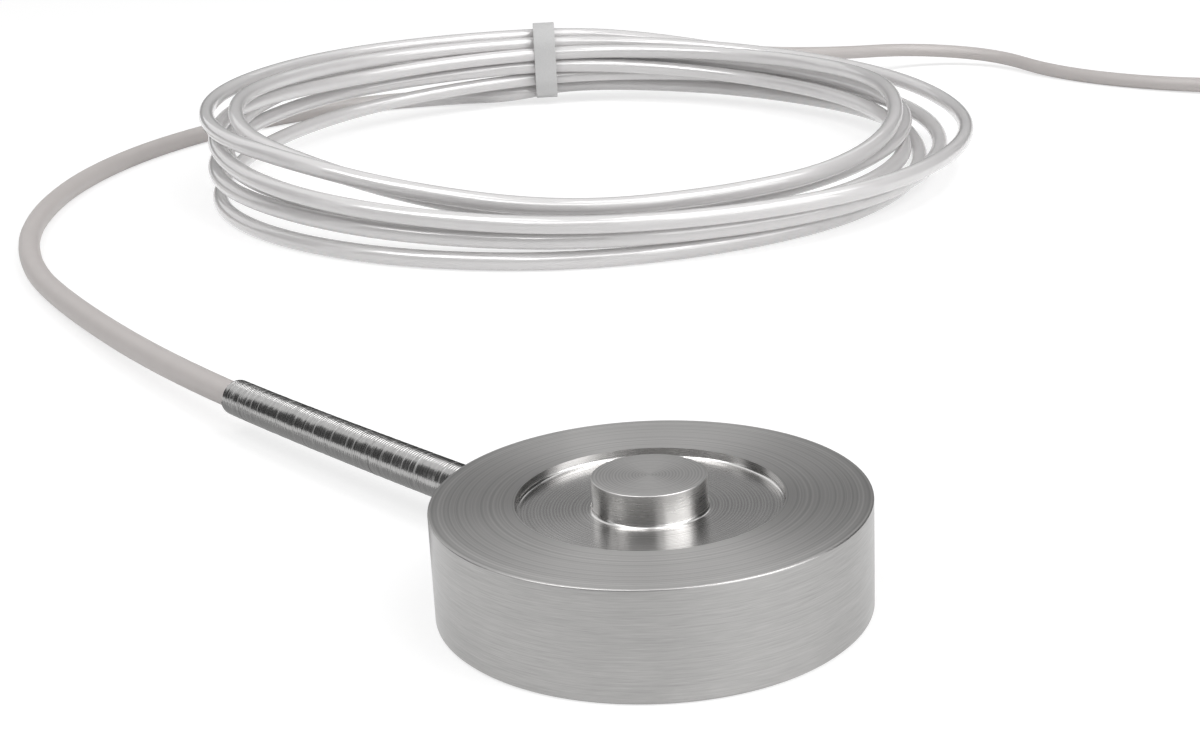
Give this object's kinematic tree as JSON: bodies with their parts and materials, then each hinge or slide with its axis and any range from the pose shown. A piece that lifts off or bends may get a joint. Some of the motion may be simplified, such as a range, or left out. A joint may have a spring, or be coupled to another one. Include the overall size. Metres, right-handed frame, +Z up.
{
  "type": "compression load cell",
  "caption": "Miniature button load cell: a low turned steel disc with a recessed diaphragm and raised load button, a side cable in a bend spring, and the cable coiled and tied.",
  "frame": {"origin": "centre of the disc's foot, on the surface it stands on", "axes": "+Z up along the load axis through the button; the cable leaves the ring's side along -X"},
  "size_m": [0.1926, 0.2394, 0.0133],
  "materials": {
    "turned_steel": "turned stainless steel with fine concentric tool lines",
    "spring_steel": "bright drawn wire, close wound",
    "gauge_film": "amber foil carrier",
    "circuit_board": "green solder mask",
    "resistor": "dark chip",
    "solder": "bright tin solder",
    "tinned_wire": "tinned copper",
    "crimp_brass": "plain brass",
    "potting": "dark sealing resin",
    "cable_jacket": "light grey jacket, satin",
    "core_red": "red insulation",
    "core_black": "black insulation",
    "core_green": "green insulation",
    "core_white": "white insulation",
    "tie_strap": "pale grey strap, faintly speckled",
    "end_sleeve": "dark shrunk sleeve"
  },
  "bodies": {
    "root": {"sensor_body": "turned_steel", "base_cover": "turned_steel", "bridge_board": "circuit_board", "gauge_leads": "tinned_wire", "span_resistor": "resistor", "solder_joints": "solder", "inner_drain_wire": "tinned_wire", "crimp_ring": "crimp_brass", "entry_potting": "potting", "bend_spring": "spring_steel", "cable_lead": "cable_jacket", "cable_coil": "cable_jacket", "cable_tail": "cable_jacket", "coil_tie": "tie_strap", "end_sleeve": "end_sleeve", "free_core_tips": "tinned_wire", "free_drain_wire": "tinned_wire", "strain_gauge_1": "gauge_film", "strain_gauge_2": "gauge_film", "strain_gauge_3": "gauge_film", "strain_gauge_4": "gauge_film", "trim_resistor_1": "resistor", "trim_resistor_2": "resistor", "trim_resistor_3": "resistor", "inner_core_red": "core_red", "free_core_red": "core_red", "inner_core_black": "core_black", "free_core_black": "core_black", "inner_core_green": "core_green", "free_core_green": "core_green", "inner_core_white": "core_white", "free_core_white": "core_white"}
  },
  "joints": []
}
